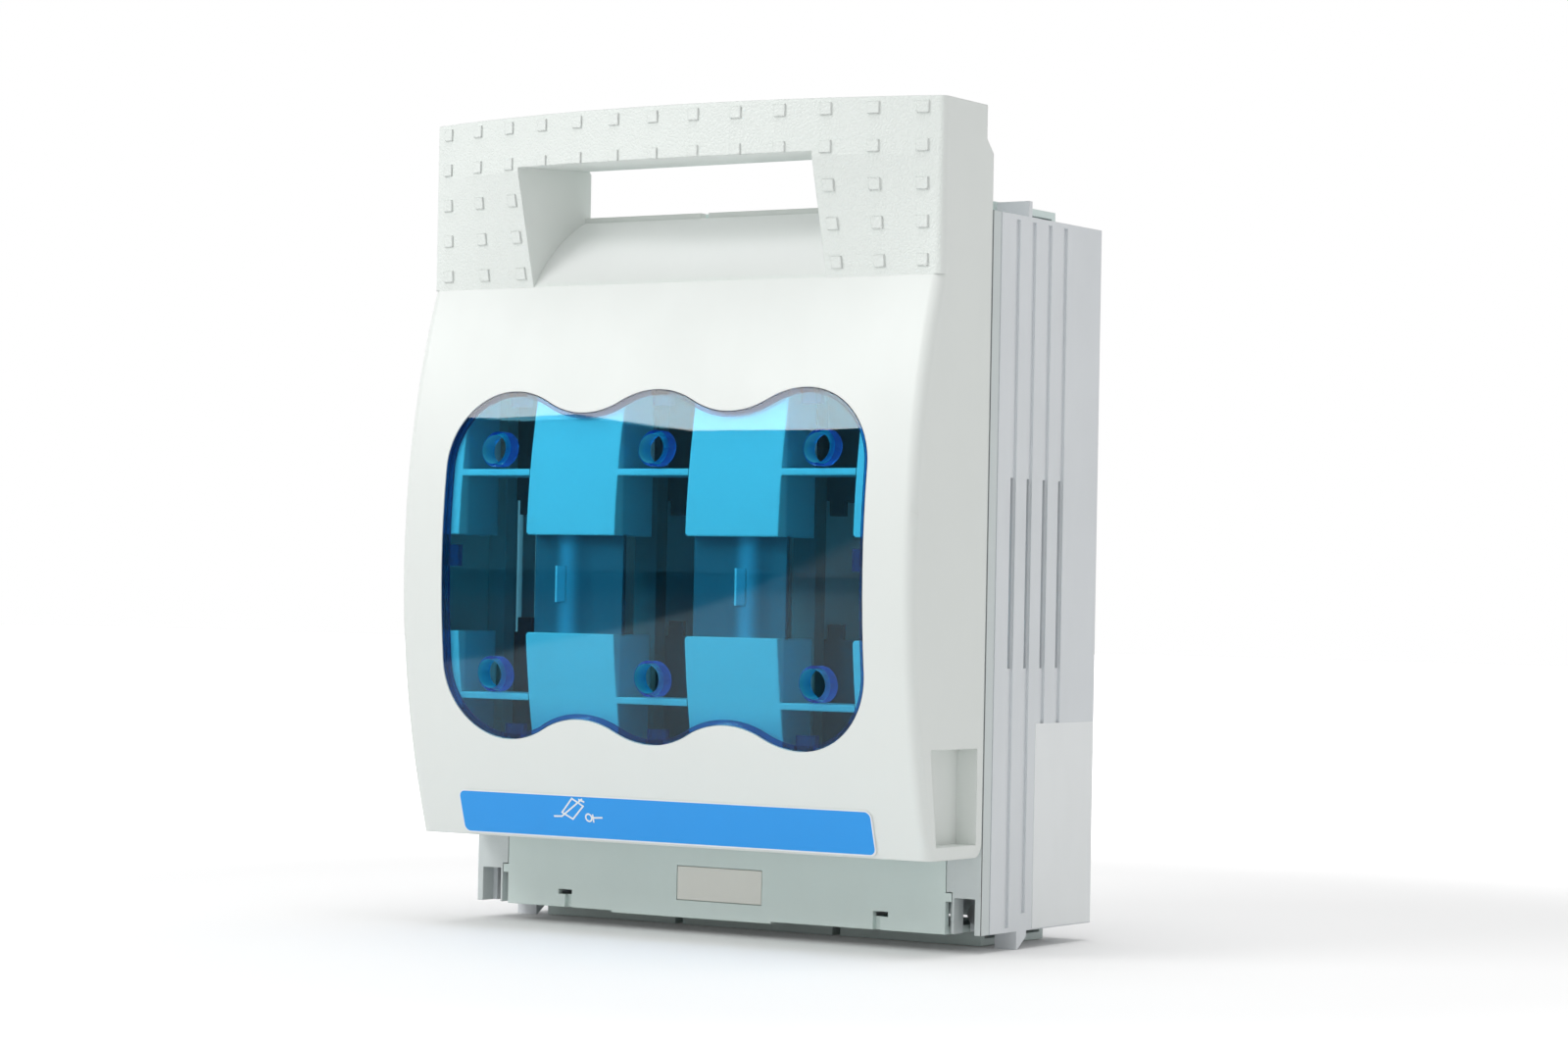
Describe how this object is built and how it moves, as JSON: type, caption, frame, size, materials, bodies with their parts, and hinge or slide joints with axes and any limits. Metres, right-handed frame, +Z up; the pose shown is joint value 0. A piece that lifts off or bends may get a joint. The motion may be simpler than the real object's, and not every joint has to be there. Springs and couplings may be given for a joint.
{
  "type": "electrical disconnect switch",
  "caption": "Three-pole fuse-switch-disconnector with a hinged handle lid, blue inspection window and sliding terminal covers.",
  "frame": {"origin": "centre of the four mounting holes, in the plane of the mounting plate", "axes": "X to the right seen from the front, +Y into the mounting plate, +Z up towards the handle"},
  "size_m": [0.1842, 0.1114, 0.2483],
  "materials": {
    "housing_grey": "fine grained moulding",
    "frame_grey": "rough moulding",
    "cover_grey": "fine grained moulding",
    "lid_white": "satin moulding, textured on the handle",
    "window_blue": "clear blue polycarbonate",
    "carrier_grey": "satin moulding",
    "cover_dark": "satin moulding",
    "label_blue": "printed film",
    "label_white": "paper label",
    "plate_cream": "bare plate",
    "contact_plated": "plated copper",
    "spring_steel": "spring steel",
    "bolt_zinc": "zinc plated",
    "arc_steel": "bare sheet",
    "screw_steel": "zinc plated",
    "pin_steel": "ground"
  },
  "bodies": {
    "base": {"base_housing": "housing_grey", "front_frame": "frame_grey", "side_label": "label_white", "corner_screws": "screw_steel", "hinge_pin_left": "pin_steel", "hinge_pin_right": "pin_steel", "lower_jaw_springs": "spring_steel", "lower_terminal_bolts": "bolt_zinc", "lower_terminal_washers": "bolt_zinc", "lower_terminal_nuts": "bolt_zinc", "lower_contact_screws": "bolt_zinc", "lower_jaw_contact_left": "contact_plated", "lower_contact_cover_left": "cover_dark", "lower_arc_plates_left": "arc_steel", "lower_jaw_contact_middle": "contact_plated", "lower_contact_cover_middle": "cover_dark", "lower_arc_plates_middle": "arc_steel", "lower_jaw_contact_right": "contact_plated", "lower_contact_cover_right": "cover_dark", "lower_arc_plates_right": "arc_steel", "upper_jaw_springs": "spring_steel", "upper_terminal_bolts": "bolt_zinc", "upper_terminal_washers": "bolt_zinc", "upper_terminal_nuts": "bolt_zinc", "upper_contact_screws": "bolt_zinc", "upper_jaw_contact_left": "contact_plated", "upper_contact_cover_left": "cover_dark", "upper_arc_plates_left": "arc_steel", "upper_jaw_contact_middle": "contact_plated", "upper_contact_cover_middle": "cover_dark", "upper_arc_plates_middle": "arc_steel", "upper_jaw_contact_right": "contact_plated", "upper_contact_cover_right": "cover_dark", "upper_arc_plates_right": "arc_steel"},
    "lid": {"lid_cover": "lid_white", "window": "window_blue", "label_band": "label_blue", "fuse_carrier": "carrier_grey", "carrier_screws": "screw_steel"},
    "lower_cover": {"lower_terminal_cover": "cover_grey", "name_plate": "plate_cream"},
    "upper_cover": {"upper_terminal_cover": "cover_grey"}
  },
  "joints": [
    {"name": "lid_hinge", "type": "hinge", "parent": "base", "child": "lid", "pos_m": [0, -0.072, -0.0791], "axis": [1, 0, 0], "range_deg": [0, 85]},
    {"name": "lower_cover_slide", "type": "slide", "parent": "base", "child": "lower_cover", "axis": [0, 0, -1], "range_m": [0, 0.03]},
    {"name": "upper_cover_slide", "type": "slide", "parent": "base", "child": "upper_cover", "axis": [0, 0, 1], "range_m": [0, 0.03]}
  ]
}
